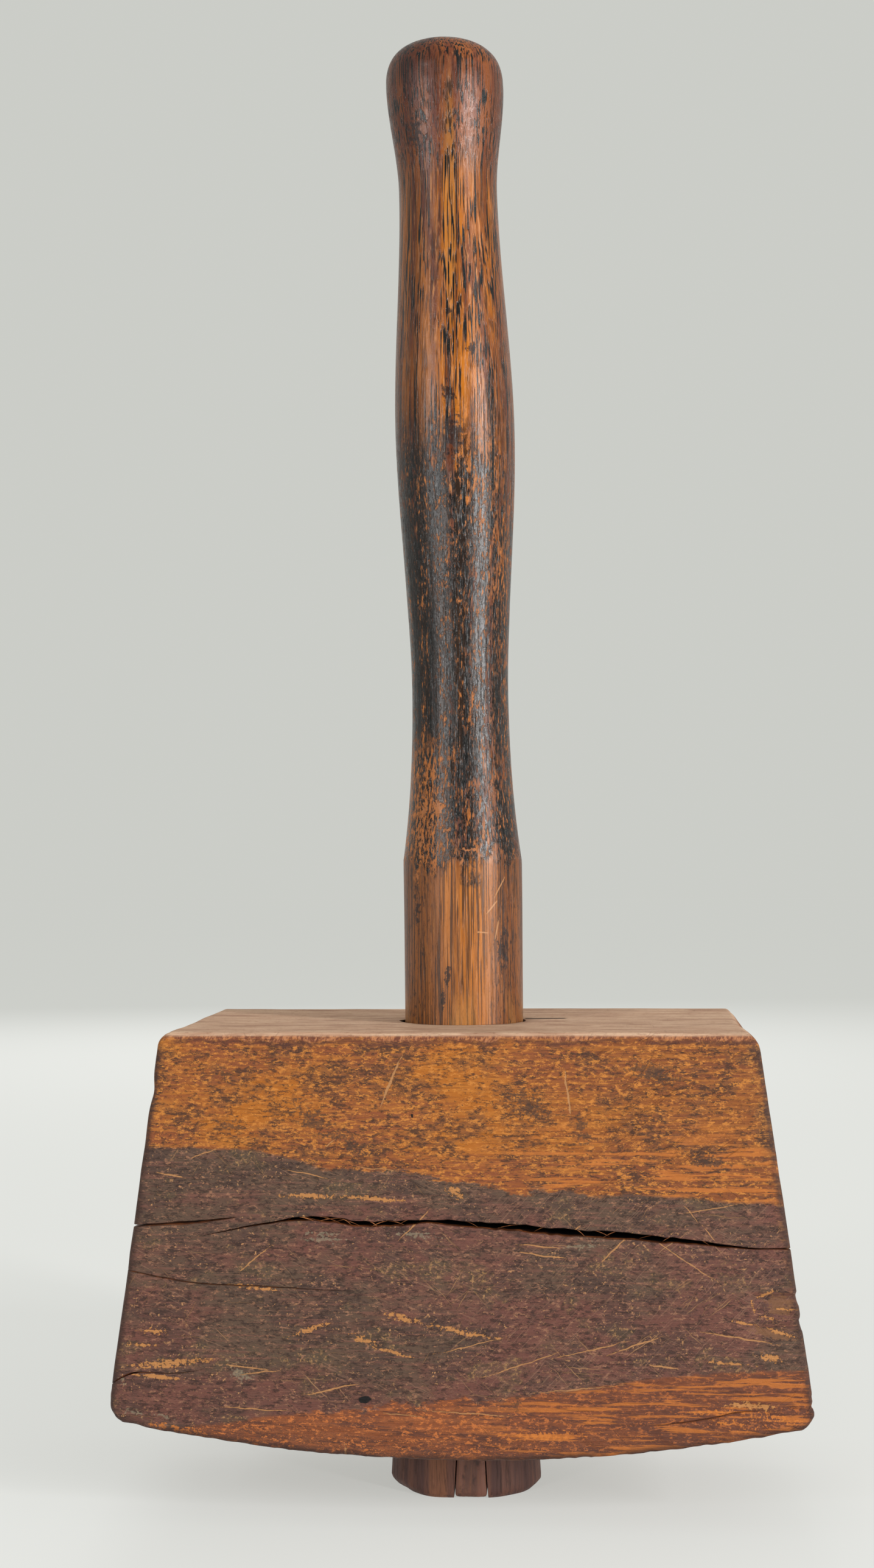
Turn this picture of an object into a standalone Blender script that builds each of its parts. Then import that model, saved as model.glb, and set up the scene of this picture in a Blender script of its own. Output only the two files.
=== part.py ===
"""Carpenter's wooden mallet: a block head, a turned handle through its eye, and a driven wedge.

Frame: metres, +Z up the handle from the flat end of the stub (z = 0) to the knob, X along the head's
length, Y through its thickness. The origin is on the tenon's axis.
"""
import math

import bmesh
import bpy
from mathutils import Vector

# Head, a block that is longest at the crown
HEAD_TOP_LENGTH = 0.154        # at the face on the grip's side
HEAD_CROWN_LENGTH = 0.181      # between the corners of the crown
HEAD_THICKNESS = 0.0855        # cheek to cheek
HEAD_HEIGHT = 0.1085           # grip-side face to the middle of the crown
CROWN_RISE = 0.0095            # how far the crown's middle stands out from its corners
CROWN_CORNER_RADIUS = 0.004    # where the crown turns into the striking faces
ARRIS_WIDTH = 0.0014           # eased edge all round the block
CROWN_STEPS = 24               # facets along the crown's arc
CORNER_STEPS = 4               # facets round each crown corner

# Handle, from the stub's flat end upwards
STUB_LENGTH = 0.0175           # stub standing out of the crown's middle
TENON_END_RADIUS = 0.0172      # turned radius at the stub's end, before the wedge spreads it
SHANK_RADIUS = 0.0165          # parallel part above the head
SHANK_LENGTH = 0.0443          # head to the shoulder
COVE_LENGTH = 0.0457           # shoulder to the middle of the waist
WAIST_RADIUS = 0.0135
WAIST_TO_SWELL = 0.0752
SWELL_RADIUS = 0.0168
SWELL_TO_NECK = 0.0685
NECK_RADIUS = 0.0139
NECK_TO_KNOB = 0.0298
KNOB_RADIUS = 0.0166
KNOB_CAP_HEIGHT = 0.0115       # widest part of the knob to its top
HANDLE_BOW = 0.0045            # how far the knob's top stands off the tenon's axis, towards -X
BOW_POWER = 1.8                # the bow grows with this power of the height above the head
RIM_CHAMFER = 0.0018           # eased rim of the stub's end

# Wedge and the saw kerf that it fills
WEDGE_THICKNESS = 0.0086       # at the stub's end
WEDGE_LENGTH = 0.062
SAW_KERF = 0.0016              # width sawn away, and the thickness of the wedge's tip
KERF_SPARE = 0.012             # saw cut left empty past the wedge's tip
WEDGE_OFFSET = 0.002           # the kerf lies this far from the axis, towards +X

# Fits
EYE_CLEARANCE = 0.0003         # tenon to the wall of the eye
WEDGE_CLEARANCE = 0.0003       # wedge to each side of the kerf, and tip to its narrow part

# Curves of the turned profile, as powers
KNOB_CAP_FLATNESS = 2.5        # of the knob's cap: 2 is an ellipse, more is flatter on top
KNOB_CAP_FULLNESS = 0.3        # less is squarer at the cap's edge
COVE_POWER = 2.2               # how late the cove rises from the waist to the shoulder

TURNED_STEPS = 48              # facets round the handle
GRIP_RINGS = 8                 # rings along each curved stretch of the grip
CUTTER_MARGIN = 0.01           # cutters run past the faces that they open

# Places that follow from the sizes above
CROWN_MIDDLE_Z = STUB_LENGTH
CROWN_CORNER_Z = STUB_LENGTH + CROWN_RISE
HEAD_TOP_Z = STUB_LENGTH + HEAD_HEIGHT
SHOULDER_Z = HEAD_TOP_Z + SHANK_LENGTH
WAIST_Z = SHOULDER_Z + COVE_LENGTH
SWELL_Z = WAIST_Z + WAIST_TO_SWELL
NECK_Z = SWELL_Z + SWELL_TO_NECK
KNOB_Z = NECK_Z + NECK_TO_KNOB
HANDLE_TOP_Z = KNOB_Z + KNOB_CAP_HEIGHT
KERF_DEPTH = WEDGE_LENGTH + KERF_SPARE


def clear_scene():
    """Remove every object of the open scene."""
    for thing in list(bpy.data.objects):
        bpy.data.objects.remove(thing, do_unlink=True)


def collection(name):
    """Return a new collection linked to the scene."""
    made = bpy.data.collections.new(name)
    bpy.context.scene.collection.children.link(made)
    return made


def timber(name, colour, roughness):
    """Return a plain timber material."""
    material = bpy.data.materials.new(name)
    material.use_nodes = True
    shader = material.node_tree.nodes["Principled BSDF"]
    shader.inputs["Base Color"].default_value = (*colour, 1.0)
    shader.inputs["Roughness"].default_value = roughness
    shader.inputs["Metallic"].default_value = 0.0
    material.diffuse_color = (*colour, 1.0)
    return material


def place(name, mesh, where):
    """Make an object of a mesh in a collection."""
    thing = bpy.data.objects.new(name, mesh)
    where.objects.link(thing)
    return thing


def evaluated_mesh(thing, name):
    """Return the object's shape with its modifiers applied, its doubles merged, facing outwards."""
    bpy.context.view_layer.update()
    graph = bpy.context.evaluated_depsgraph_get()
    mesh = bpy.data.meshes.new_from_object(thing.evaluated_get(graph))
    mesh.name = name
    mesh.transform(thing.matrix_world)
    shape = bmesh.new()
    shape.from_mesh(mesh)
    bmesh.ops.remove_doubles(shape, verts=shape.verts, dist=1e-6)
    bmesh.ops.recalc_face_normals(shape, faces=shape.faces)
    shape.to_mesh(mesh)
    shape.free()
    return mesh


def slab(name, outline, half_depth, where):
    """Extrude a closed outline of (x, z) points to both sides of the XZ plane by half_depth."""
    curve = bpy.data.curves.new(name, "CURVE")
    curve.dimensions = "2D"
    curve.fill_mode = "BOTH"
    curve.extrude = half_depth
    spline = curve.splines.new("POLY")
    spline.points.add(len(outline) - 1)
    for point, (x, z) in zip(spline.points, outline):
        point.co = (x, z, 0.0, 1.0)
    spline.use_cyclic_u = True
    drawn = place(name, curve, where)
    drawn.rotation_euler = (math.pi / 2, 0.0, 0.0)
    mesh = evaluated_mesh(drawn, name)
    bpy.data.objects.remove(drawn, do_unlink=True)
    return place(name, mesh, where)


def turned(name, profile, where):
    """Turn a profile of (radius, z) points, given from top to bottom, about Z."""
    mesh = bpy.data.meshes.new(name)
    mesh.from_pydata([(radius, 0.0, z) for radius, z in profile],
                     [(i, i + 1) for i in range(len(profile) - 1)], [])
    lathe = place(name, mesh, where)
    screw = lathe.modifiers.new("turning", "SCREW")
    screw.axis = "Z"
    screw.angle = 2 * math.pi
    screw.steps = TURNED_STEPS
    screw.render_steps = TURNED_STEPS
    screw.use_merge_vertices = True
    screw.merge_threshold = 1e-5
    solid = evaluated_mesh(lathe, name)
    bpy.data.objects.remove(lathe, do_unlink=True)
    return place(name, solid, where)


def boolean(target, cutter, operation):
    """Cut a target with, or keep only what lies inside, a cutter."""
    modifier = target.modifiers.new(cutter.name, "BOOLEAN")
    modifier.operation = operation
    modifier.solver = "EXACT"
    modifier.object = cutter


def as_cutter(thing):
    """Mark an object as a cutter, which is drawn as wire and not rendered."""
    thing.display_type = "WIRE"
    thing.hide_render = True
    return thing


def smooth_step(t):
    """Rise from 0 to 1 with no slope at either end."""
    return t * t * (3 - 2 * t)


def wedge_thickness(z):
    """Thickness of the straight wedge at height z, from the stub's end to its tip."""
    return WEDGE_THICKNESS - (WEDGE_THICKNESS - SAW_KERF) * z / WEDGE_LENGTH


def tenon_radius(z):
    """Turned radius of the tenon at height z, before it is spread."""
    return TENON_END_RADIUS + (SHANK_RADIUS - TENON_END_RADIUS) * z / HEAD_TOP_Z


def spread_by_wedge(thing):
    """Move each half of a turned tenon outwards by half of what the wedge adds to the saw kerf."""
    for vertex in thing.data.vertices:
        added = max(wedge_thickness(vertex.co.z) - SAW_KERF, 0.0)
        side = (vertex.co.x - WEDGE_OFFSET) / (SAW_KERF / 2)
        vertex.co.x += max(-1.0, min(1.0, side)) * added / 2


def bow_grip(thing):
    """Lean the grip towards -X, more and more with the height above the head."""
    reach = HANDLE_TOP_Z - HEAD_TOP_Z
    for vertex in thing.data.vertices:
        height = max(vertex.co.z - HEAD_TOP_Z, 0.0) / reach
        vertex.co.x -= HANDLE_BOW * height ** BOW_POWER


def grip_profile():
    """(radius, z) points of the grip, from the top of the knob down to the shoulder."""
    points = []
    for i in range(GRIP_RINGS + 1):
        lean = math.pi / 2 * i / GRIP_RINGS
        height = math.cos(lean)
        radius = KNOB_RADIUS * (1 - height ** KNOB_CAP_FLATNESS) ** KNOB_CAP_FULLNESS
        points.append((radius, KNOB_Z + KNOB_CAP_HEIGHT * height))
    stretches = (
        (KNOB_RADIUS, KNOB_Z, NECK_RADIUS, NECK_Z),
        (NECK_RADIUS, NECK_Z, SWELL_RADIUS, SWELL_Z),
        (SWELL_RADIUS, SWELL_Z, WAIST_RADIUS, WAIST_Z),
    )
    for radius_a, z_a, radius_b, z_b in stretches:
        for i in range(1, GRIP_RINGS + 1):
            t = i / GRIP_RINGS
            points.append((radius_a + (radius_b - radius_a) * smooth_step(t), z_a + (z_b - z_a) * t))
    for i in range(1, GRIP_RINGS + 1):
        t = i / GRIP_RINGS
        radius = WAIST_RADIUS + (SHANK_RADIUS - WAIST_RADIUS) * t ** COVE_POWER
        points.append((radius, WAIST_Z + (SHOULDER_Z - WAIST_Z) * t))
    return points


def tenon_profile(clearance, z_top, z_end):
    """(radius, z) points of the tenon, or with a clearance of its eye, from z_top down to z_end."""
    heights = (z_top, WEDGE_LENGTH, z_end)
    return [(tenon_radius(z) + clearance, z) for z in heights]


def make_head(parts, cutters, material):
    """Block with an arched crown, eased arrises, and an eye that widens towards the crown."""
    half_top = HEAD_TOP_LENGTH / 2
    half_crown = HEAD_CROWN_LENGTH / 2
    crown_radius = (half_crown ** 2 + CROWN_RISE ** 2) / (2 * CROWN_RISE)
    crown_centre = Vector((0.0, CROWN_MIDDLE_Z + crown_radius))
    half_angle = math.asin(half_crown / crown_radius)

    # The corner's arc is tangent to the striking face and to the crown
    face = Vector((half_crown - half_top, CROWN_CORNER_Z - HEAD_TOP_Z)).normalized()
    inward = Vector((face.y, -face.x))
    if inward.x > 0:
        inward = -inward
    radius = CROWN_CORNER_RADIUS
    anchor = Vector((half_crown, CROWN_CORNER_Z)) + inward * radius
    from_crown = anchor - crown_centre
    reach = from_crown.dot(face)
    across = from_crown.dot(from_crown) - (crown_radius - radius) ** 2
    corner = anchor + face * (-reach + math.sqrt(reach ** 2 - across))
    start = math.atan2(-inward.y, -inward.x)
    towards_crown = corner - crown_centre
    finish = math.atan2(towards_crown.y, towards_crown.x)

    right = [(half_top, HEAD_TOP_Z)]
    for i in range(CORNER_STEPS + 1):
        angle = start + (finish - start) * i / CORNER_STEPS
        right.append((corner.x + radius * math.cos(angle), corner.y + radius * math.sin(angle)))
    arc_half = math.pi / 2 + finish
    crown = []
    for i in range(1, CROWN_STEPS):
        angle = -math.pi / 2 + arc_half * (1 - 2 * i / CROWN_STEPS)
        crown.append((crown_centre.x + crown_radius * math.cos(angle),
                      crown_centre.y + crown_radius * math.sin(angle)))
    left = [(-x, z) for x, z in reversed(right)]

    head = slab("head", right + crown + left, HEAD_THICKNESS / 2, parts)
    bevel = head.modifiers.new("arrises", "BEVEL")
    bevel.width = ARRIS_WIDTH
    bevel.segments = 2
    bevel.limit_method = "ANGLE"
    bevel.angle_limit = math.radians(40)

    profile = tenon_profile(EYE_CLEARANCE, HEAD_TOP_Z + CUTTER_MARGIN, -CUTTER_MARGIN)
    eye = turned("eye_cutter", [(0.0, profile[0][1])] + profile + [(0.0, profile[-1][1])], cutters)
    spread_by_wedge(eye)
    boolean(head, as_cutter(eye), "DIFFERENCE")
    head.data.materials.append(material)
    return head


def make_handle_blank(name, where):
    """Whole turned handle with its tenon spread and its grip bowed, before the kerf is opened."""
    tenon = tenon_profile(0.0, HEAD_TOP_Z, RIM_CHAMFER)
    rim = [(TENON_END_RADIUS - RIM_CHAMFER, 0.0), (0.0, 0.0)]
    blank = turned(name, grip_profile() + tenon + rim, where)
    spread_by_wedge(blank)
    bow_grip(blank)
    return blank


def make_kerf_cutter(where):
    """Outline of the opened kerf: the wedge's taper with its clearance, then the bare saw cut."""
    half_end = wedge_thickness(-CUTTER_MARGIN) / 2 + WEDGE_CLEARANCE
    half_tip = SAW_KERF / 2 + WEDGE_CLEARANCE
    outline = [
        (WEDGE_OFFSET - half_end, -CUTTER_MARGIN),
        (WEDGE_OFFSET + half_end, -CUTTER_MARGIN),
        (WEDGE_OFFSET + half_tip, WEDGE_LENGTH),
        (WEDGE_OFFSET + half_tip, KERF_DEPTH),
        (WEDGE_OFFSET - half_tip, KERF_DEPTH),
        (WEDGE_OFFSET - half_tip, WEDGE_LENGTH),
    ]
    return as_cutter(slab("kerf_cutter", outline, TENON_END_RADIUS + CUTTER_MARGIN, where))


def make_handle(parts, cutters, material):
    """Turned handle with its kerf cut."""
    handle = make_handle_blank("handle", parts)
    boolean(handle, make_kerf_cutter(cutters), "DIFFERENCE")
    handle.data.materials.append(material)
    return handle


def make_wedge(parts, cutters, material):
    """Tapered slip as wide as the tenon and trimmed flush with the stub."""
    half_end = wedge_thickness(-CUTTER_MARGIN) / 2
    half_tip = SAW_KERF / 2
    outline = [
        (WEDGE_OFFSET - half_end, -CUTTER_MARGIN),
        (WEDGE_OFFSET + half_end, -CUTTER_MARGIN),
        (WEDGE_OFFSET + half_tip, WEDGE_LENGTH),
        (WEDGE_OFFSET - half_tip, WEDGE_LENGTH),
    ]
    wedge = slab("wedge", outline, TENON_END_RADIUS + CUTTER_MARGIN, parts)
    boolean(wedge, as_cutter(make_handle_blank("wedge_trimmer", cutters)), "INTERSECT")
    wedge.data.materials.append(material)
    return wedge


def shade(thing, angle):
    """Shade a piece smooth, with edges sharper than the angle left crisp."""
    thing.data.shade_smooth()
    thing.data.set_sharp_from_angle(angle=math.radians(angle))


def main():
    """Build the mallet."""
    clear_scene()
    parts = collection("wooden_mallet")
    cutters = collection("cutters")
    head = make_head(parts, cutters, timber("head_timber", (0.150, 0.055, 0.028), 0.62))
    handle = make_handle(parts, cutters, timber("handle_timber", (0.230, 0.085, 0.030), 0.42))
    wedge = make_wedge(parts, cutters, timber("wedge_timber", (0.120, 0.060, 0.040), 0.65))
    for piece in (head, handle, wedge):
        shade(piece, 35)


main()
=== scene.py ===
"""Looks of the carpenter's wooden mallet: block head with drying checks, turned handle, driven wedge.

Metres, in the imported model's frame: +Z up the handle from the flat end of the stub, X along the head,
Y through it, front cheek towards -Y. Every surface is a grid of points worked out as whole arrays.
"""
import math

import bmesh
import bpy
import numpy as np
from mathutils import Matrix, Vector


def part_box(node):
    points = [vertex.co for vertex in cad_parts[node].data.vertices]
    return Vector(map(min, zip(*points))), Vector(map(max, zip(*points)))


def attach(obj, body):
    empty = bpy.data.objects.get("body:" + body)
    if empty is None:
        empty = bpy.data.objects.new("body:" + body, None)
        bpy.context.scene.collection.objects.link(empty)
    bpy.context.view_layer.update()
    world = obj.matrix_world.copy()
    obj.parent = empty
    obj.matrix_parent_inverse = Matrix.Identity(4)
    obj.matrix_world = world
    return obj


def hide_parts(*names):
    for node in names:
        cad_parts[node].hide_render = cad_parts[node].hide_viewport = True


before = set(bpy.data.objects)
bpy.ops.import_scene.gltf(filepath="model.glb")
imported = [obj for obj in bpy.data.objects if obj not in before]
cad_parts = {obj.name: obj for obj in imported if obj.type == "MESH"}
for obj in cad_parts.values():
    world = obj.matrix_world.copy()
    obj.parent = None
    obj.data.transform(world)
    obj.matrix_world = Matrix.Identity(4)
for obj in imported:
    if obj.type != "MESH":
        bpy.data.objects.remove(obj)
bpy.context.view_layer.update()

HEAD_LOW, HEAD_HIGH = (np.array(corner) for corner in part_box("head"))
HANDLE_HIGH = np.array(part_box("handle")[1])
MM = 0.001

# The head's sizes, in metres
TOP_Z = HEAD_HIGH[2]
CROWN_Z = HEAD_LOW[2]
HALF_THICKNESS = HEAD_HIGH[1]
HALF_TOP = 0.077
HALF_CROWN = 0.0905
CROWN_RISE = 0.0095
CORNER_Z = CROWN_Z + CROWN_RISE
CROWN_RADIUS = (HALF_CROWN ** 2 + CROWN_RISE ** 2) / (2 * CROWN_RISE)
TILT = math.atan2(HALF_CROWN - HALF_TOP, TOP_Z - CORNER_Z)
TOP_CORNER = 0.0036
CROWN_CORNER = 0.0042
SIDE_ARRIS = 0.0013
TOP_ARRIS = 0.0013
CHEEK_MM = -42.75        # the front cheek's y in millimetres, as the tables of marks count it
ROUND_LONG, ROUND_SHORT = 90.0, 42.75        # the outline's halves, in the millimetres counted round it
EYE_SPAN = 0.045         # about how far it is from the rim in to the eye
GATHERED = np.array((0.25, 0.6, 1.0, 1.5, 2.1, 2.9, 3.9)) * MM        # rows beside an edge to be rounded

# The handle's sizes, in metres
SHANK_RADIUS = 0.0165
TENON_END_RADIUS = 0.0172
EYE_CLEARANCE = 0.0003
SHOULDER_Z = TOP_Z + 0.0443
WAIST_Z = SHOULDER_Z + 0.0457
SWELL_Z = WAIST_Z + 0.0752
NECK_Z = SWELL_Z + 0.0685
KNOB_Z = NECK_Z + 0.0298
KNOB_TOP_Z = HANDLE_HIGH[2]
WAIST_RADIUS, SWELL_RADIUS, NECK_RADIUS, KNOB_RADIUS = 0.0135, 0.0168, 0.0139, 0.0166
HANDLE_BOW = 0.0045
BOW_POWER = 1.8
COVE_POWER = 2.2
RIM_CHAMFER = 0.0018
STUB_RINGS = (0.0, 0.021)        # heights between which the rings are close together, far apart in the
EYE_RINGS = (0.026, 0.118)       # eye, and close together again from the grip's first ring to the knob
GRIP_FIRST_RING = 0.1225
HIDDEN_MIDDLE, HIDDEN_HALF = 0.07, 0.048        # the heights hidden in the eye, where nothing is worn

# The wedge's sizes, in metres
WEDGE_THICKNESS = 0.0086
WEDGE_LENGTH = 0.062
WEDGE_CLEARANCE = 0.0003
SAW_KERF = 0.0016
KERF_DEPTH = 0.074
WEDGE_OFFSET = 0.002

LATTICE = np.random.default_rng(11).random((64, 64, 64)) * 2 - 1


# ---------------------------------------------------------------- sums on arrays

def smooth(t):
    """Smooth step: 0 below 0, 1 above 1, and 3t^2 - 2t^3 between."""
    t = np.clip(t, 0.0, 1.0)
    return t * t * (3 - 2 * t)


def bell(distance, width):
    """Bell of height 1 that falls off as exp(-(distance / width)^2)."""
    return np.exp(-(distance / width) ** 2)


def curve(points, at):
    """Smooth curve through (place, value) points: a cubic between neighbours, whose slopes come from the
    points on either side, and level beyond the ends."""
    place, value = np.array(points, float).T
    slope = np.gradient(value, place)
    i = np.clip(np.searchsorted(place, at) - 1, 0, len(place) - 2)
    span = place[i + 1] - place[i]
    t = np.clip((at - place[i]) / span, 0, 1)
    near = (1 + 2 * t) * (1 - t) ** 2 * value[i] + t * (1 - t) ** 2 * span * slope[i]
    return near + t * t * (3 - 2 * t) * value[i + 1] - t * t * (1 - t) * span * slope[i + 1]


def noise(points, size, shift=0.0):
    """Value noise between -1 and 1: random heights on a lattice with cells of the given size, one number
    or three, blended between a cell's eight corners by smooth steps."""
    place = points / np.array(size) + shift
    cell = np.floor(place).astype(int)
    part = smooth(place - cell)
    total = np.zeros(points.shape[:-1])
    for corner in np.ndindex(2, 2, 2):
        weight = np.prod(np.where(corner, part, 1 - part), axis=-1)
        i, j, k = np.moveaxis((cell + corner) % 64, -1, 0)
        total += weight * LATTICE[i, j, k]
    return total


def layered(points, size, layers=3, shift=0.0):
    """Sum of noise at the size and at halves of it, each half as strong as the one before."""
    total = np.zeros(points.shape[:-1])
    for layer in range(layers):
        total += noise(points, np.array(size) / 2 ** layer, shift + 7.3 * layer) / 2 ** layer
    return total


def grid_normals(points):
    """Unit normals of a grid (rows, columns, 3) that closes round both ways: the cross product of the
    differences down the rows and across the columns."""
    across = np.roll(points, -1, axis=1) - np.roll(points, 1, axis=1)
    down = np.roll(points, -1, axis=0) - np.roll(points, 1, axis=0)
    normal = np.cross(down, across)
    return normal / np.maximum(np.linalg.norm(normal, axis=-1, keepdims=True), 1e-15)


def spaced(length, step, start=False, end=False):
    """Shares from 0 to 1 of a length, both ends left out, about step apart, and closer at a start or an
    end that is an edge to be rounded."""
    first = GATHERED if start else np.array([])
    last = length - GATHERED[::-1] if end else np.array([])
    low = GATHERED[-1] if start else 0.0
    high = length - GATHERED[-1] if end else length
    middle = np.linspace(low, high, max(2, int(round((high - low) / step)) + 1))[1:-1]
    return np.concatenate([first, middle, last]) / length


# ---------------------------------------------------------------- meshes

def grid_mesh(name, points, wrap_rows=False, attributes=()):
    """Closed mesh of a grid (rows, columns, 3) whose columns close round. Its rows close round too, or
    its first and last rows are closed by a fan about their middle."""
    rows, columns, _ = points.shape
    index = np.arange(rows * columns).reshape(rows, columns)
    above = index if wrap_rows else index[:-1]
    below = np.roll(index, -1, axis=0)[:len(above)]
    quads = np.stack([above, below, np.roll(below, -1, axis=1), np.roll(above, -1, axis=1)], -1)
    faces = quads.reshape(-1, 4).tolist()
    vertices = points.reshape(-1, 3)
    values = {label: value.reshape(-1) for label, value in attributes}
    if not wrap_rows:
        first, last = rows * columns, rows * columns + 1
        top, end = index[0], index[-1]
        faces += np.stack([np.full(columns, first), top, np.roll(top, -1)], -1).tolist()
        faces += np.stack([np.full(columns, last), np.roll(end, -1), end], -1).tolist()
        vertices = np.concatenate([vertices, [points[0].mean(axis=0), points[-1].mean(axis=0)]])
        values = {label: np.append(value, [value[:columns].mean(), value[-columns:].mean()])
                  for label, value in values.items()}
    mesh = bpy.data.meshes.new(name)
    mesh.from_pydata(vertices.tolist(), [], faces)
    for label, value in values.items():
        mesh.attributes.new(label, "FLOAT", "POINT").data.foreach_set("value", value.astype(np.float32))
    mesh.update()
    mesh.shade_smooth()
    return mesh


def face_outwards(mesh):
    """Turn the faces of a closed mesh outwards."""
    shape = bmesh.new()
    shape.from_mesh(mesh)
    bmesh.ops.recalc_face_normals(shape, faces=shape.faces)
    shape.to_mesh(mesh)
    shape.free()


def piece(name, mesh, material, slot, *nodes):
    """Put a mesh in the scene as a piece of the mallet that stands for the CAD nodes."""
    thing = bpy.data.objects.new(name, mesh)
    bpy.context.scene.collection.objects.link(thing)
    mesh.materials.clear()
    mesh.materials.append(material)
    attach(thing, "root")
    if nodes:
        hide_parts(*nodes)
    return thing


# ---------------------------------------------------------------- tenon, eye and wedge, as they fit

def wedge_thickness(z):
    """Wedge's thickness at height z: a straight taper from its full thickness to the saw kerf's."""
    return WEDGE_THICKNESS - (WEDGE_THICKNESS - SAW_KERF) * z / WEDGE_LENGTH


def spread(x, z):
    """x after the wedge is driven: each half of the tenon moves out by half of what the wedge adds."""
    side = np.clip((x - WEDGE_OFFSET) / (SAW_KERF / 2), -1, 1)
    return x + side * np.maximum(wedge_thickness(z) - SAW_KERF, 0) / 2


def tenon_radius(z):
    """Tenon's radius: a slight straight taper from the stub's end to the shank."""
    return TENON_END_RADIUS + (SHANK_RADIUS - TENON_END_RADIUS) * np.clip(z / TOP_Z, 0, 1)


# ---------------------------------------------------------------- head

def crown_z(x):
    """Height of the crown's arc at x."""
    return CROWN_Z + CROWN_RADIUS - np.sqrt(CROWN_RADIUS ** 2 - x ** 2)


def half_length(z):
    """Half the head's length at height z: the striking faces slope outwards towards the crown."""
    return HALF_TOP + (HALF_CROWN - HALF_TOP) * (TOP_Z - z) / (TOP_Z - CORNER_Z)


# A check's section, lip to lip: (share of half the gap, millimetres beyond the lip, share of the depth)
WIDE_CHECK = ((1, 0.7, 0), (1, 0.3, 0), (1, 0.08, 0), (1, 0, 0.02), (0.85, 0, 0.15), (0.6, 0, 0.45),
              (0.3, 0, 0.85), (-0.3, 0, 1), (-0.6, 0, 0.6), (-0.85, 0, 0.2), (-1, 0, 0.02),
              (-1, -0.08, 0), (-1, -0.3, 0), (-1, -0.7, 0))
FINE_CHECK = ((1, 0.35, 0), (1, 0.05, 0), (0.6, 0, 0.6), (-0.3, 0, 1), (-1, -0.05, 0), (-1, -0.35, 0))

# Each check runs right round the head and is open only here and there. Its line is (round, height), its
# gap (round, width) and above the usual height of plain wood over it, all in millimetres. Round is
# measured along the outline from the middle of the front cheek, towards the right striking face: 90 at
# the corner, 175.5 at the next, 265.5 at the middle of the back.
CHECKS = (
    dict(section=FINE_CHECK, depth=7, above=47,
         line=((-265, 79), (-175, 73), (-130, 75), (-90, 76.4), (-70, 77.9), (-62, 78.9), (-50, 80.6),
               (-20, 80.2), (20, 78.8), (50, 77), (90, 75), (175, 78), (265, 79)),
         gap=((-178, 0), (-160, 0.5), (-125, 0.25), (-106, 0.55), (-88, 0.6), (-76, 1.0), (-67, 0.6),
              (-61, 0))),
    dict(section=WIDE_CHECK, depth=13, above=2.6,
         line=((-265, 72), (-175, 67), (-90, 69), (-72.5, 73.4), (-55, 77), (-46, 78.2), (-17, 77.3),
               (-8, 78.1), (2, 77.2), (18, 76.2), (50, 74.3), (75, 72.2), (90, 71.6), (130, 70.4),
               (175, 71), (220, 74), (265, 72)),
         gap=((-265, 0.5), (-240, 0.9), (-235, 0.88), (-234.9, 0), (-74, 0), (-60, 0.3), (-49, 0.5),
              (-44, 1.1), (-30, 1.5), (-13, 1.3), (-8, 0.7), (-3, 1.4), (20, 1.8), (50, 1.8),
              (64, 1.3), (76, 0.5), (84, 0.3), (92, 0.45), (112, 0.6), (134, 0), (180, 0), (196, 0.6),
              (234.9, 0.8652), (235, 0.88), (240, 0.9), (265, 0.5))),
    dict(section=FINE_CHECK, depth=4, above=15,
         line=((-265, 58), (-110, 66), (-90, 65), (-84, 63.9), (-70, 61.8), (-57, 61.3), (-28, 60.1),
               (20, 59), (90, 57), (265, 58)),
         gap=((-112, 0), (-100, 0.3), (-84, 0.35), (-70, 0.3), (-45, 0.22), (-26, 0), (96, 0),
              (112, 0.35), (150, 0.3), (166, 0))),
    dict(section=FINE_CHECK, depth=4, above=26,
         line=((-265, 36), (-120, 36), (-90, 36.4), (-87, 38.2), (-74, 39), (-66, 39.8), (-40, 36),
               (0, 31), (40, 26.4), (52, 27.2), (71, 30.6), (90, 32), (265, 36)),
         gap=((-150, 0), (-130, 0.4), (-96, 0.3), (-88, 0.38), (-76, 0.2), (-65, 0), (48, 0),
              (55, 0.3), (70, 0.4), (77, 0), (190, 0), (210, 0.3), (232, 0))),
)
ROW_STEP = 0.00078        # metres between the head's rows, its columns on the front and the others
FRONT_STEP = 0.00062
BACK_STEP = 0.0024


def outline():
    """Columns round the head from above, anticlockwise from the front's left corner: shares of the half
    length and of the half thickness, and the way round in millimetres from the front's middle."""
    length, thickness = 2 * HALF_CROWN, 2 * HALF_THICKNESS
    front = np.append(0, spaced(length, FRONT_STEP, True, True)) * 2 - 1
    back = np.append(0, spaced(length, BACK_STEP, True, True)) * 2 - 1
    end = np.append(0, spaced(thickness, BACK_STEP, True, True)) * 2 - 1
    across = np.concatenate([front, np.ones_like(end), -back, -np.ones_like(end)])
    through = np.concatenate([-np.ones_like(front), end, np.ones_like(back), -end])
    long, short = ROUND_LONG, ROUND_SHORT
    way = np.concatenate([front * long, long + (end + 1) * short,
                          long + 2 * short + (back + 1) * long, -long - (1 - end) * short])
    half_way = 2 * (long + short)
    return across, through, np.where(way > half_way, way - 2 * half_way, way)


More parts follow.
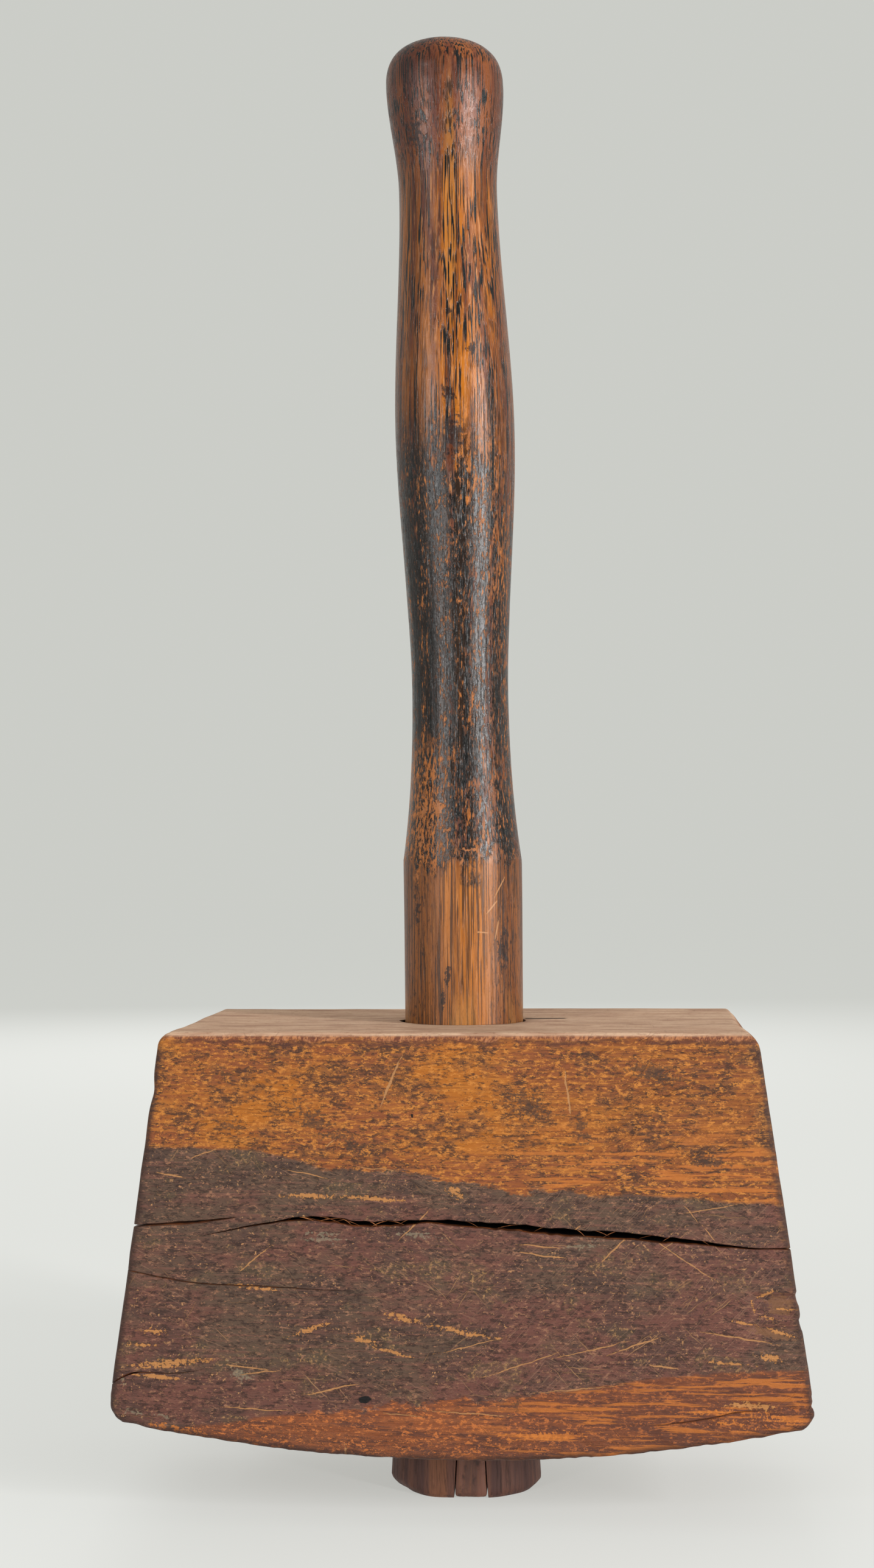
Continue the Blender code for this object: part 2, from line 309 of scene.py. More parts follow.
def side_rows(across, way):
    """Heights and depths, in metres, of the rows down the head's four sides. Rows gather at each check,
    follow it round and go down into it, by as much as it is open there."""
    flat = np.stack([way * MM, np.zeros_like(way), np.zeros_like(way)], -1)
    crown = crown_z(across * HALF_CROWN)
    blocks, depths = [np.full((1, len(way)), TOP_Z)], [np.zeros((1, len(way)))]
    lines = []
    for number, check in enumerate(CHECKS):
        wander = 0.25 * noise(flat, 0.009, number) + 0.12 * noise(flat, 0.0025, number + 5.5)
        line = curve(check["line"], way) + wander
        lines.append([line, np.interp(way, *np.array(check["gap"], float).T)])
    lines[0][0] = np.maximum(lines[0][0], lines[1][0] + lines[1][1] / 2 + 1.25)
    above = blocks[0][0]
    for number, (check, (line, gap)) in enumerate(zip(CHECKS, lines)):
        ragged = 1 + 0.22 * noise(flat, 0.0021, number + 9) * (gap > 0)
        torn = 1 + 0.22 * noise(flat, 0.0017, number + 17) * (gap > 0)
        half = np.maximum(gap / 2, 0.03)
        share, beyond, down = (column[:, None] for column in np.array(check["section"], float).T)
        rows = line + share * half * np.where(share > 0, ragged, torn) + beyond
        depth = down * check["depth"] * smooth(gap / 0.45) * (1 + 0.25 * noise(flat, 0.004, number + 3))
        between = spaced(check["above"] * MM, ROW_STEP, start=number == 0)[:, None]
        blocks += [above + between * (rows[0] * MM - above), rows * MM]
        depths += [np.zeros((len(between), len(way))), depth * MM]
        above = rows[-1] * MM
    between = np.append(spaced(0.015, ROW_STEP, end=True), 1.0)[:, None]
    blocks.append(above + between * (crown - above))
    depths.append(np.zeros((len(between), len(way))))
    return np.concatenate(blocks), np.concatenate(depths)


def eye(angle, z, gap=EYE_CLEARANCE):
    """Eye's wall at a height: the tenon's circle, spread as the wedge spreads it, plus the clearance."""
    reach = tenon_radius(z) + gap
    return np.stack([spread(reach * np.cos(angle), z), reach * np.sin(angle), z + 0 * angle], -1)


def quarter_disc(first, second, radius):
    """How near two distances in from the faces at an edge come to it, as shares u and v of the radius,
    and the same once their square is a quarter disc: u sqrt(1 - v^2 / 2) and v sqrt(1 - u^2 / 2)."""
    u = np.clip(1 - first / radius, 0, 1)
    v = np.clip(1 - second / radius, 0, 1)
    return u, v, u * np.sqrt(1 - v * v / 2), v * np.sqrt(1 - u * u / 2)


def round_edges(points):
    """Round the sharp block: first the outline's corners, and then the arrises between the outline and
    the cheeks. Returns the points and each one's distance from the nearest arris."""
    x, y, z = np.moveaxis(points, -1, 0)
    side = np.where(x < 0, -1.0, 1.0)
    reach = np.abs(x)
    from_end = -((reach - HALF_TOP) * math.cos(TILT) + (z - TOP_Z) * math.sin(TILT))
    swing = np.hypot(x, CROWN_Z + CROWN_RADIUS - z)
    upper = z > (TOP_Z + CORNER_Z) / 2
    from_level = np.where(upper, TOP_Z - z, CROWN_RADIUS - swing)
    level_x = np.where(upper, 0.0, reach / swing)
    level_z = np.where(upper, 1.0, (z - CROWN_Z - CROWN_RADIUS) / swing)
    front_left = smooth((-x / HALF_TOP - 0.5) * 2) * smooth((-y / HALF_THICKNESS - 0.4) * 2)
    back_right = smooth(x / HALF_TOP * 2 - 1) * smooth(y / HALF_THICKNESS + 0.3)
    radius = np.where(upper, TOP_CORNER - 0.0006 * front_left - 0.0022 * back_right, CROWN_CORNER)
    radius = radius * (1 + 0.12 * noise(points, 0.011, 2))
    u, v, u_round, v_round = quarter_disc(from_end, from_level, radius)
    reach = reach + radius * ((u_round - u) * math.cos(TILT) + (v_round - v) * level_x)
    z = z + radius * ((u_round - u) * math.sin(TILT) + (v_round - v) * level_z)
    rim = np.maximum(np.hypot(u_round, v_round), 1e-9)
    out_x = (u_round * math.cos(TILT) + v_round * level_x) / rim
    out_z = (u_round * math.sin(TILT) + v_round * level_z) / rim
    from_outline = radius * (1 - rim)
    arris = SIDE_ARRIS + (TOP_ARRIS - SIDE_ARRIS) * smooth(out_z * 2 - 0.6)
    arris = arris * (1 + 0.25 * layered(points, 0.007, 2, 4))
    from_cheek = HALF_THICKNESS - np.abs(y)
    u, v, u_round, v_round = quarter_disc(from_outline, from_cheek, arris)
    reach = reach + arris * (u_round - u) * out_x
    z = z + arris * (u_round - u) * out_z
    y = y + arris * (v_round - v) * np.sign(y)
    nearest = np.sort(np.stack([from_end, from_level, from_cheek]), axis=0)[1]
    return np.stack([side * reach, y, z], -1), nearest


# The heartwood's upper and lower edges on the front cheek: x and z, in millimetres
HEART_TOP = ((-90, 96), (-46, 94.8), (-38, 92.6), (-24, 90.7), (-9, 90.2), (12, 87), (42, 85.2), (90, 82.8))
HEART_FOOT = ((-90, 23), (-67, 25.8), (-27, 30.1), (23, 34.7), (60, 39.9), (90, 41.2))
HEART_DEPTH = 95.0        # millimetres from the pith to the heartwood's edge, through the head
PITH_Y = -20.0            # millimetres


def heartwood(points):
    """How far inside the heartwood each point is, in millimetres. Across the grain its edge is an ellipse
    about the pith, which lies nearer the front cheek; along X it follows the edges seen on that cheek."""
    x, y, z = np.moveaxis(points / MM, -1, 0)
    top, foot = curve(HEART_TOP, x), curve(HEART_FOOT, x)
    front = math.sqrt(1 - ((CHEEK_MM - PITH_Y) / HEART_DEPTH) ** 2)
    half = (top - foot) / 2 / front
    ring = np.hypot((z - (top + foot) / 2) / half, (y - PITH_Y) / HEART_DEPTH)
    return (1 - ring) * half


def worn(points):
    """Displacement outwards of the head's surface, in metres: broad waves, small dents, a hollow worn in
    the left front arris, torn splinter beds at the right and the crown's bruised edge."""
    x, y, z = np.moveaxis(points / MM, -1, 0)
    front = smooth((-y - 30) / 8)
    rise = 0.16 * layered(points, 0.04, 2) + 0.05 * layered(points, (0.02, 0.006, 0.006), 3, 3)
    rise -= 0.5 * np.maximum(layered(points, 0.0065, 2, 20) - 0.75, 0)
    rise -= 0.6 * bell(x + 79.5, 4) * bell(z - 111, 3.0) * front
    torn = smooth((x - 73) / 3) * smooth((61 - z) / 1.2) * smooth((z - 50.5) / 1.5) * front
    torn = torn * smooth(0.6 + layered(points, (0.012, 0.004, 0.003), 2, 8))
    fibres = noise(points, (0.016, 0.002, 0.0011), 5)
    rise -= torn * (0.75 + 0.35 * fibres)
    bed = bell(z - 31.8 - 0.02 * (x - 75), 2.6) * smooth((x - 66) / 4) * front
    rise -= bed * (0.45 + 0.5 * noise(points, (0.005, 0.002, 0.0009), 15))
    crown_edge = smooth((crown_z(points[..., 0]) / MM + 9 - z) / 6) * front
    rise -= crown_edge * 0.28 * np.abs(layered(points, 0.0035, 2, 30))
    return rise * MM


def head_mesh():
    """The head as one surface that closes round both ways: down the sides, in under the crown, up the eye
    and out over the top."""
    across, through, way = outline()
    z, depth = side_rows(across, way)
    sides = np.stack([across * half_length(z), through * HALF_THICKNESS + 0 * z, z], -1)
    rim_top, rim_crown = sides[0], sides[-1]
    angle = np.arctan2(rim_top[:, 1], rim_top[:, 0])
    under = spaced(EYE_SPAN, 0.004, start=True)[:, None, None]
    crown = rim_crown + under * (eye(angle, CROWN_Z) - rim_crown)
    crown[..., 2] = crown_z(crown[..., 0])
    bore_z = np.array((CROWN_Z + 0.0004, 0.03, 0.05, 0.08, 0.11, TOP_Z - 0.004, TOP_Z - 0.0004))
    gape = 0.0011 * bell(np.abs(angle) - math.pi, 0.16) + 0.0003 * noise(rim_top, 0.02)
    bore = np.stack([eye(angle, height, EYE_CLEARANCE + np.maximum(gape, 0) * (height > 0.1))
                     for height in bore_z])
    mouth = eye(angle, TOP_Z, EYE_CLEARANCE + 0.0004 + np.maximum(gape, 0))
    lip = eye(angle, CROWN_Z, EYE_CLEARANCE + 0.0004)
    lip[..., 2] = crown_z(lip[..., 0])
    over = np.append(0, 1 - spaced(EYE_SPAN, 0.0035, start=True)[::-1])[:, None, None]
    top = mouth + over * (rim_top - mouth)
    points = np.concatenate([sides, crown, lip[None], bore, top])
    depth = np.concatenate([depth, np.zeros((len(points) - len(depth), len(way)))])
    inside = np.zeros(len(points))
    first_bore = len(sides) + len(crown) + 1
    inside[first_bore:first_bore + len(bore)] = 1
    points, from_arris = round_edges(points)
    normal = grid_normals(points)
    heart = heartwood(points)
    points = points + normal * (worn(points) * (1 - inside[:, None]))[..., None]
    core = points * (1, 0, 1)
    core[..., 0] = np.clip(core[..., 0], -0.055, 0.055)
    inward = core - points
    inward /= np.maximum(np.linalg.norm(inward, axis=-1, keepdims=True), 1e-9)
    points = points + inward * depth[..., None]
    # how deep a point lies in a check, and 1 all through the eye: the material paints torn wood and, deeper,
    # shade by it
    deep = np.clip(depth / (3 * MM), 0, 1) + inside[:, None]
    return grid_mesh("mallet_head", points, True,
                     (("heart", heart), ("deep", deep), ("arris", from_arris / MM)))


def splinter_mesh():
    """Slivers of torn wood that bridge the wide check: each is a thin tube that tapers at both ends and
    bows a little, from the upper lip to the lower one."""
    random = np.random.default_rng(5)
    count, rings, sides = 22, 7, 5
    check = CHECKS[1]
    start_x = np.sort(np.concatenate([random.uniform(-43, -12, 13), random.uniform(-2, 62, 9)]))
    run = random.uniform(2.2, 6.5, count) * random.choice((1, 1, -1), count)
    gap = np.interp(start_x, *np.array(check["gap"], float).T)
    middle = curve(check["line"], start_x)
    start = np.stack([start_x, random.uniform(-42.4, -41, count), middle + gap * 0.5], -1)
    finish = np.stack([start_x + run, random.uniform(-42.4, -40, count),
                       curve(check["line"], start_x + run) - gap * 0.52], -1)
    t = np.linspace(0, 1, rings)[:, None, None]
    turn = np.linspace(0, 2 * math.pi, sides, endpoint=False)
    mesh = bmesh.new()
    for a, b, thick in zip(start, finish, random.uniform(0.10, 0.24, count)):
        path = a + t * (b - a) + np.array((0, -0.35, 0.3)) * np.sin(math.pi * t)
        ring = np.stack([0 * turn, np.cos(turn), 0.6 * np.sin(turn)], -1) * thick
        tube = path + ring * (0.15 + 0.85 * np.sin(math.pi * (0.06 + 0.88 * t)))
        if b[0] < a[0]:
            tube = tube[:, ::-1]
        one = grid_mesh("sliver", tube * MM)
        mesh.from_mesh(one)
        bpy.data.meshes.remove(one)
    made = bpy.data.meshes.new("head_splinters")
    mesh.to_mesh(made)
    mesh.free()
    face_outwards(made)
    made.shade_smooth()
    return made


# ---------------------------------------------------------------- handle and wedge

def turned_radius(z):
    """Handle's radius: tapered tenon, straight shank, a cove down to the waist that falls as a power of
    the way along it, and smooth steps to the swell, the neck and the knob."""
    cove = np.clip((WAIST_Z - z) / (WAIST_Z - SHOULDER_Z), 0, 1)
    radius = WAIST_RADIUS + (SHANK_RADIUS - WAIST_RADIUS) * cove ** COVE_POWER
    radius = np.where(z < TOP_Z, tenon_radius(z), radius)
    radius = radius + (SWELL_RADIUS - WAIST_RADIUS) * smooth((z - WAIST_Z) / (SWELL_Z - WAIST_Z))
    radius = radius + (NECK_RADIUS - SWELL_RADIUS) * smooth((z - SWELL_Z) / (NECK_Z - SWELL_Z))
    radius = radius + (KNOB_RADIUS - NECK_RADIUS) * smooth((z - NECK_Z) / (KNOB_Z - NECK_Z))
    return radius


def handle_mesh():
    """The handle: rings of the turned radius from the stub's end to the cap, with shallow facets, pores
    and dents, bowed above the head and spread at the tenon. The cap's radius falls as (1 - t^2.5)^0.3 of
    its height's share t, and the stub's rim is worn away unevenly. Its flat end's rings are shares of the
    rim's radius."""
    stub = np.linspace(*STUB_RINGS, 22)
    hidden = np.linspace(*EYE_RINGS, 12)
    grip = np.linspace(GRIP_FIRST_RING, KNOB_Z, 235)
    cap = np.sin(np.linspace(0, math.pi / 2, 26)[1:-1])
    height = np.concatenate([stub, hidden, grip, KNOB_Z + (KNOB_TOP_Z - KNOB_Z) * cap])
    radius = turned_radius(height)
    radius[-len(cap):] = KNOB_RADIUS * (1 - cap ** 2.5) ** 0.3
    flat = np.linspace(0.08, 0.97, 7)
    height = np.concatenate([0 * flat, height, [KNOB_TOP_Z] * 3])
    radius = np.concatenate([flat, radius, radius[-1] * np.array((0.7, 0.4, 0.1))])
    angle = np.linspace(-math.pi, math.pi, 290, endpoint=False)
    z = height[:, None] + 0 * angle
    ring = radius[:, None] + 0 * angle
    unit = np.stack([np.cos(angle) + 0 * z, np.sin(angle) + 0 * z, z / 0.05], -1)
    rim = RIM_CHAMFER * (0.7 + 0.35 * noise(unit, 0.3) + 0.9 * bell(np.abs(angle + 2.6), 0.5))
    down = np.clip(1 - z / rim, 0, 1)
    outside = np.arange(len(height))[:, None] >= len(flat)
    ring = np.where(outside, ring - rim * 0.75 * down ** 1.6, ring * (TENON_END_RADIUS - 0.75 * rim))
    place = np.stack([SHANK_RADIUS * np.cos(angle) + 0 * z, SHANK_RADIUS * np.sin(angle) + 0 * z, z], -1)
    pores = np.maximum(noise(place, (0.0011, 0.0011, 0.018), 3) - 0.35, 0)
    facet = 0.00016 * noise(place, (0.008, 0.008, 0.06), 6) + 0.00007 * noise(place, (0.004, 0.004, 0.02), 9)
    dents = 0.0004 * np.maximum(layered(place, 0.006, 2, 12) - 0.9, 0)
    seen = outside & (np.abs(z - HIDDEN_MIDDLE) >= HIDDEN_HALF)
    ring = ring + seen * np.where(z < KNOB_Z, 1, 0.5) * (facet - 0.00011 * pores - dents)
    x, y = ring * np.cos(angle), ring * np.sin(angle)
    x = spread(x, z) - HANDLE_BOW * np.clip((z - TOP_Z) / (KNOB_TOP_Z - TOP_Z), 0, 1) ** BOW_POWER
    points = np.stack([x, y, z], -1)[::-1]
    return grid_mesh("mallet_handle", points)


def saw_slot():
    """Cutter for the tenon's saw kerf, as the wedge has opened it."""
    half = wedge_thickness(0) / 2 + WEDGE_CLEARANCE
    thin = SAW_KERF / 2
    low = -0.002
    right = [(half, low), (half, 0), (thin + WEDGE_CLEARANCE, WEDGE_LENGTH), (thin, WEDGE_LENGTH + 0.001),
             (thin, KERF_DEPTH)]
    edge = right + [(-across, z) for across, z in reversed(right)]
    reach = 0.03
    vertices = [(WEDGE_OFFSET + across, y, z) for y in (-reach, reach) for across, z in edge]
    count = len(edge)
    faces = [tuple(range(count)), tuple(range(2 * count - 1, count - 1, -1))]
    faces += [(i, i + count, (i + 1) % count + count, (i + 1) % count) for i in range(count)]
    mesh = bpy.data.meshes.new("saw_slot")
    mesh.from_pydata(vertices, [], faces)
    face_outwards(mesh)
    return mesh


def cut(mesh, cutter_mesh):
    """The mesh less the cutter, with its sharp edges kept sharp."""
    thing = bpy.data.objects.new("blank", mesh)
    cutter = bpy.data.objects.new("cutter", cutter_mesh)
    for one in (thing, cutter):
        bpy.context.scene.collection.objects.link(one)
    modifier = thing.modifiers.new("slot", "BOOLEAN")
    modifier.object = cutter
    modifier.solver = "EXACT"
    made = bpy.data.meshes.new_from_object(thing.evaluated_get(bpy.context.evaluated_depsgraph_get()))
    for one in (thing, cutter):
        bpy.data.objects.remove(one)
    made.name = mesh.name + "_cut"
    made.shade_smooth()
    made.set_sharp_from_angle(angle=math.radians(38))
    return made


def wedge_mesh():
    """The wedge: rings from its driven end up to its thin end. A ring has two flat cheeks, which lie
    along the saw kerf, and two round ends, which follow the tenon."""
    height = np.append(np.linspace(0.0004, 0.020, 30), np.linspace(0.026, WEDGE_LENGTH, 8))
    shares = np.linspace(-1, 1, 41)
    close = np.linspace(-1, 1, 13)[1:-1]
    along = np.concatenate([shares, np.ones(11), -shares, -np.ones(11)])
    out = np.concatenate([np.ones(41), -close, -np.ones(41), close])
    z = height[:, None] + 0 * along
    half = wedge_thickness(z) / 2
    half = half * (1 - 0.12 * np.clip(1 - z / 0.0012, 0, 1))
    place = np.stack([out + 0 * z, along * 0.017 + 0 * z, z], -1)
    x = out * half
    reach = np.sqrt(tenon_radius(z) ** 2 - (x * 0.5) ** 2) - 0.0001
    reach = reach - 0.0011 * np.clip(1 - z / 0.0016, 0, 1) ** 1.6
    reach = reach - np.where(out * out < 0.99, 0, 0.0004) + 0.00012 * noise(place, (0.002, 0.02, 0.004))
    y = along * reach
    points = np.stack([x + WEDGE_OFFSET, y, z], -1)
    share = np.array((0.1, 0.5, 0.9))[:, None, None]
    middle = np.array((WEDGE_OFFSET, 0, 0))
    low, high = points[0], points[-1]
    foot = (low - middle) * (share, share, 1)[0] + middle
    foot[..., 2] = low[..., 2]
    lid = (high - middle) * share[::-1] + middle
    lid[..., 2] = high[..., 2]
    points = np.concatenate([foot, points, lid])[::-1]
    made = grid_mesh("tenon_wedge", points)
    face_outwards(made)
    made.set_sharp_from_angle(angle=math.radians(40))
    return made


# ---------------------------------------------------------------- materials

LIGHT_LEVEL = 1.7        # how bright the lamps make a pale surface that faces forwards
SHEEN_LEVEL = 0.012      # how much a dark surface reflects of the pale room


def tone(red, green, blue):
    """Surface colour that looks like this screen colour, 0 to 255, under the studio's light."""
    linear = (((part / 255 + 0.055) / 1.055) ** 2.4 for part in (red, green, blue))
    return (*(max(part - SHEEN_LEVEL, 0.0015) / LIGHT_LEVEL for part in linear), 1.0)


class Paint:
    """One material's nodes. Each call adds a node or two and gives back the output to use next."""

    def __init__(self, name):
        self.material = bpy.data.materials.new(name)
        self.material.use_nodes = True
        self.tree = self.material.node_tree
        self.shader = self.tree.nodes["Principled BSDF"]
        self.place = self.add("ShaderNodeTexCoord").outputs["Object"]
        self.sides = self.add("ShaderNodeSeparateXYZ", {0: self.place}).outputs

    def add(self, kind, inputs=(), **settings):
        """A node with its settings, and its inputs set to values or joined to other nodes' outputs."""
        node = self.tree.nodes.new(kind)
        for key, value in settings.items():
            setattr(node, key, value)
        for socket, value in dict(inputs).items():
            if isinstance(value, bpy.types.NodeSocket):
                self.tree.links.new(value, node.inputs[socket])
            else:
                node.inputs[socket].default_value = value
        return node

    def attribute(self, name):
        """A value kept at each vertex."""
        return self.add("ShaderNodeAttribute", attribute_name=name).outputs["Fac"]

    def framed(self, centre, size, turn=0.0, source=None):
        """Place counted from a centre, turned about Y, in units of the size along each axis."""
        inputs = {"Vector": source or self.place, "Location": centre, "Rotation": (0, turn, 0), "Scale": size}
        return self.add("ShaderNodeMapping", inputs, vector_type="TEXTURE").outputs[0]

    def noise(self, size, detail=2.0, seed=0.0, turn=0.0, rough=0.5, source=None):
        """Noise with features of the given size along X, Y and Z, in metres."""
        vector = self.framed((seed * 0.37, seed * 0.21, seed * 0.13), size, turn, source)
        inputs = {"Vector": vector, "Scale": 1.0, "Detail": detail, "Roughness": rough}
        return self.add("ShaderNodeTexNoise", inputs).outputs[0]

    def step(self, value, low, high, bottom=0.0, top=1.0):
        """Smooth step of the value from bottom at low to top at high."""
        inputs = {0: value, 1: low, 2: high, 3: bottom, 4: top}
        return self.add("ShaderNodeMapRange", inputs, interpolation_type="SMOOTHSTEP").outputs[0]

    def sum(self, operation, first, second, third=0.0):
        """One sum on values."""
        return self.add("ShaderNodeMath", {0: first, 1: second, 2: third}, operation=operation).outputs[0]

    def chain(self, operation, values):
        """One sum after another on the values, from the left. Here and below, a value may also be given
        as (value, low, high) or (value, low, high, bottom, top), and its smooth step is taken."""
        parts = [self.step(*value) if isinstance(value, tuple) else value for value in values]
        total = parts[0]
        for part in parts[1:]:
            total = self.sum(operation, total, part)
        return total

    def product(self, *values):
        """All the values multiplied."""
        return self.chain("MULTIPLY", values)

    def plus(self, *values):
        """All the values added."""
        return self.chain("ADD", values)

    def less(self, *values):
        """The first value less all the others."""
        return self.chain("SUBTRACT", values)

    def swing(self, value, size):
        """A value's distance above a half, times a size."""
        return self.product(self.less(value, 0.5), size)

    def most(self, values):
        """The greatest of the values. Each is joined as it is made, so that few are held at once."""
        total = 0.0
        for value in values:
            total = self.sum("MAXIMUM", self.product(value), total)
        return total

    def mix(self, share, first, second):
        """Two colours mixed: the first where the share is 0 and the second where it is 1."""
        inputs = {0: self.product(share), 6: first, 7: second}
        return self.add("ShaderNodeMix", inputs, data_type="RGBA").outputs[2]

    def blend(self, share, first, second):
        """Two colours mixed, both given as they look on the screen."""
        return self.mix(share, tone(*first), tone(*second))

    def lay(self, colour, over, *shares):
        """The colour with another, given as it looks on the screen, laid over it by all the shares."""
        return self.mix(self.product(*shares), colour, tone(*over))

    def coats(self, colour, *layers):
        """The colour with one layer after another laid over it, each given as (over, share, share)."""
        for over, *shares in layers:
            colour = self.lay(colour, over, *shares)
        return colour

    def stamp(self, centre, size, turn=0.0, source=None):
        """A mark shaped like an egg: 1 at its centre and 0 past its half sizes."""
        vector = self.framed(centre, size, turn, source)
        return self.add("ShaderNodeTexGradient", {0: vector}, gradient_type="SPHERICAL").outputs["Fac"]

    def stroke(self, x, z, to_x, to_z, width, y, source):
        """A straight scratch on a face at y, from one point to another, in millimetres."""
        centre = ((x + to_x) / 2 * MM, y * MM, (z + to_z) / 2 * MM)
        long = math.hypot(to_x - x, to_z - z) / 2 * MM
        return self.stamp(centre, (long, 0.02, width / 2 * MM), -math.atan2(to_z - z, to_x - x), source)

    def finish(self, colour, roughness, height, depth, specular=0.5):
        """Join the colour, the roughness and the bump's height, whose full depth is in metres."""
        bump = self.add("ShaderNodeBump", {"Strength": 1.0, "Distance": depth, "Height": height})
        self.tree.links.new(bump.outputs[0], self.shader.inputs["Normal"])
        self.tree.links.new(colour, self.shader.inputs["Base Color"])
        self.tree.links.new(roughness, self.shader.inputs["Roughness"])
        self.shader.inputs["Specular IOR Level"].default_value = specular
        return self.material


def head_wood():
    """Old orange hardwood with a band of chocolate heartwood, dirt, bruises, scuffs and scratches, and
    painted
    light: shade on the arrises, in the checks and in the eye, a highlight on the top bevel and a sheen on the
    top face.
    """
    paint = Paint("scarred head timber")
    heart_edge, deep, arris = (paint.attribute(name) for name in ("heart", "deep", "arris"))
    x, y, z = paint.sides
    jitter = paint.add("ShaderNodeTexNoise", {"Vector": paint.framed((0, 0, 0), (0.004,) * 3), "Scale": 1.0})
    loose = paint.add("ShaderNodeVectorMath", {0: jitter.outputs["Color"], 1: (0.0011,) * 3,
                                               2: paint.place}, operation="MULTIPLY_ADD").outputs[0]
    loose = paint.add("ShaderNodeVectorMath", {0: loose, 1: (0.00055,) * 3}, operation="SUBTRACT").outputs[0]

    grain = paint.noise((0.022, 0.0016, 0.0009), 4, 1, rough=0.6)
    fine = paint.noise((0.006, 0.0006, 0.0004), 3, 2, rough=0.6)
    clouds = paint.noise((0.034, 0.02, 0.017), 5, 3, rough=0.6)
    blots = paint.noise((0.012, 0.008, 0.008), 6, 4, rough=0.72)
    flecks = paint.noise((0.0021, 0.0011, 0.0008), 5, 5, rough=0.8)
    scuffs = paint.noise((0.0017, 0.0012, 0.0008), 5, 6, rough=0.82)
    flame = paint.noise((0.02, 0.006, 0.0022), 4, 7, rough=0.6)
    speck = paint.noise((0.0009,) * 3, 3, 8, rough=0.7)
    cluster = paint.noise((0.016, 0.014, 0.011), 4, 9, rough=0.65)

    # The sapwood above the heartwood
    orange = paint.coats(
        paint.blend((clouds, 0.38, 0.58), (190, 112, 42), (154, 88, 54)),
        ((134, 78, 50), (x, 0.0, 0.06, 0.0, 0.75)),
        ((206, 130, 56), (grain, 0.45, 0.62), 0.55),
        ((118, 80, 58), (blots, 0.47, 0.57), 0.5),
        ((84, 56, 44), (fine, 0.56, 0.66), 0.45))
    dark = paint.plus(flecks, paint.swing(blots, 0.45))
    orange = paint.lay(orange, (74, 54, 46), (dark, 0.51, 0.57), 0.8)
    orange = paint.lay(orange, (226, 146, 68), (scuffs, 0.53, 0.59), 0.85)

    # The sapwood below it, dirtier towards the crown
    waves = paint.noise((0.016, 0.005, 0.0016), 5, 17, 0.09, rough=0.7)
    red = paint.coats(
        paint.blend((clouds, 0.4, 0.6), (150, 86, 54), (116, 72, 58)),
        ((176, 106, 66), (grain, 0.45, 0.62), 0.5),
        ((98, 64, 54), (waves, 0.5, 0.6), 0.8),
        ((80, 56, 50), (flecks, 0.54, 0.61), 0.6))
    from_crown = paint.sum("MULTIPLY_ADD", paint.product(x, x), -1.17, paint.plus(z, -0.0175))
    low = paint.sum("MULTIPLY_ADD", blots, 0.012, from_crown)
    red = paint.coats(
        red,
        ((86, 60, 52), (low, 0.016, 0.008), (scuffs, 0.44, 0.54), 0.8),
        ((104, 68, 58), (blots, 0.5, 0.6), 0.45),
        ((222, 130, 70), (scuffs, 0.53, 0.59), 0.85),
        ((112, 68, 52), (x, 0.0, 0.05, 0.0, 0.35)))
    sapwood = paint.mix((z, 0.05, 0.06), red, orange)

    # The heartwood, and its fine cuts
    brown = paint.coats(
        paint.blend((clouds, 0.42, 0.56), (120, 78, 68), (104, 82, 68)),
        ((84, 64, 58), (blots, 0.46, 0.6), 0.7),
        ((138, 92, 78), (grain, 0.5, 0.64), 0.6),
        ((60, 46, 42), (flecks, 0.51, 0.57), 0.75),
        ((96, 86, 66), (cluster, 0.54, 0.64), 0.35),
        ((176, 126, 98), (scuffs, 0.56, 0.62), 0.75))
    sparks = paint.product((speck, 0.61, 0.67), (blots, 0.46, 0.56))
    brown = paint.lay(brown, (206, 152, 104), sparks, 0.9)

    def straight_cuts(*kinds):
        """Mask of fine straight cuts: each kind's length and width, seed, turn, limits and masks."""
        return paint.most(paint.product((paint.noise((length, 0.02, width), 1, seed, turn, source=loose),
                                         *limits), *masks)
                          for length, width, seed, turn, limits, *masks in kinds)

    patchy = paint.step(paint.noise((0.02, 0.02, 0.014), 2, 14), 0.46, 0.6)
    patchy_two = paint.step(paint.noise((0.018, 0.02, 0.016), 2, 15), 0.5, 0.62)
    rightward = paint.step(x, -0.015, 0.02)
    hairs = straight_cuts((0.011, 0.00026, 18, -0.82, (0.62, 0.7), rightward),
                          (0.009, 0.00026, 19, 0.45, (0.64, 0.72), patchy))
    brown = paint.lay(brown, (168, 128, 104), hairs, 0.4)
    cuts = straight_cuts((0.030, 0.00033, 10, 0.06, (0.69, 0.76), patchy),
                         (0.018, 0.00033, 11, -0.62, (0.66, 0.74), rightward, patchy_two),
                         (0.014, 0.00030, 12, -1.0, (0.69, 0.76), patchy_two),
                         (0.014, 0.00033, 13, 0.8, (0.70, 0.78), patchy))
    yellow = paint.product((speck, 0.54, 0.62), (cluster, 0.54, 0.66))
    brown = paint.lay(brown, (184, 138, 98), cuts, 0.85)
    brown = paint.lay(brown, (176, 134, 90), yellow, 0.8)

    # The two together, and brighter streaks in the sapwood at the right
    fuzz = paint.plus(paint.swing(blots, 14), paint.swing(grain, 5))
    middle = paint.product((x, -0.05, -0.02), (x, 0.05, 0.02))
    edge = paint.plus(heart_edge, paint.product(fuzz, (middle, 0, 1, 0.22, 0.75)))
    colour = paint.mix((edge, -0.35, 0.55), sapwood, brown)
    flicker = paint.plus(flame, paint.swing(grain, 0.8))
    streaks = paint.product((flicker, 0.53, 0.6), (z, 0.108, 0.094), 0.8, (x, -0.01, 0.03),
                            (heart_edge, 0.8, -0.8))
    colour = paint.lay(colour, (206, 122, 58), streaks)

